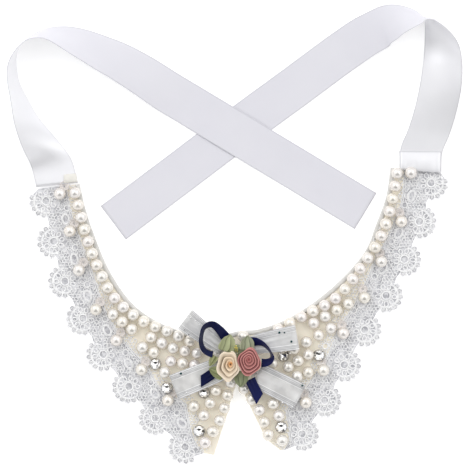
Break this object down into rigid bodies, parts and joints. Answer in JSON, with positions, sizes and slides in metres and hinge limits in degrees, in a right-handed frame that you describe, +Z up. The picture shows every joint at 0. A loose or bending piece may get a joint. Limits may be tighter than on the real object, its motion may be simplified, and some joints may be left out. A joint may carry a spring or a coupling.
{
  "type": "pet bib collar",
  "caption": "Lace-edged pet bib collar sewn with pearls, with a ribbon and rose bow at its front and satin ribbon ties that lie crossed behind.",
  "frame": {"origin": "on the surface that the collar lies on, under the middle of the object", "axes": "+Z up out of the face that shows, +Y from the bow to the ties, +X to the right in the picture"},
  "size_m": [0.2696, 0.2741, 0.0255],
  "materials": {
    "ivory pearl and cotton": "pearl lustre over plain cotton",
    "white lace": "matt cotton lace",
    "white satin ribbon": "satin face, matt back",
    "silver organza": "sheer, with satin edges",
    "navy satin ribbon": "satin",
    "olive satin ribbon": "satin",
    "peach satin ribbon": "satin",
    "rose pink satin ribbon": "satin",
    "crystal in a nickel setting": "clear cut crystal, polished setting"
  },
  "bodies": {
    "root": {"collar_base": "ivory pearl and cotton", "lace_left": "white lace", "lace_right": "white lace", "tie_left": "white satin ribbon", "tie_right": "white satin ribbon", "organza_loop_left": "silver organza", "organza_loop_right": "silver organza", "organza_tail_left": "silver organza", "organza_tail_right": "silver organza", "navy_loop_left": "navy satin ribbon", "navy_loop_right": "navy satin ribbon", "navy_tail_left": "navy satin ribbon", "navy_tail_right": "navy satin ribbon", "leaf_upper_left": "olive satin ribbon", "leaf_left": "olive satin ribbon", "leaf_lower_left": "olive satin ribbon", "leaf_upper_right": "olive satin ribbon", "leaf_bottom": "olive satin ribbon", "rose_peach": "peach satin ribbon", "rose_pink": "rose pink satin ribbon", "stone_left_1": "crystal in a nickel setting", "stone_left_2": "crystal in a nickel setting", "stone_left_3": "crystal in a nickel setting", "stone_left_4": "crystal in a nickel setting", "stone_right_1": "crystal in a nickel setting", "stone_right_2": "crystal in a nickel setting", "stone_right_3": "crystal in a nickel setting"}
  },
  "joints": []
}
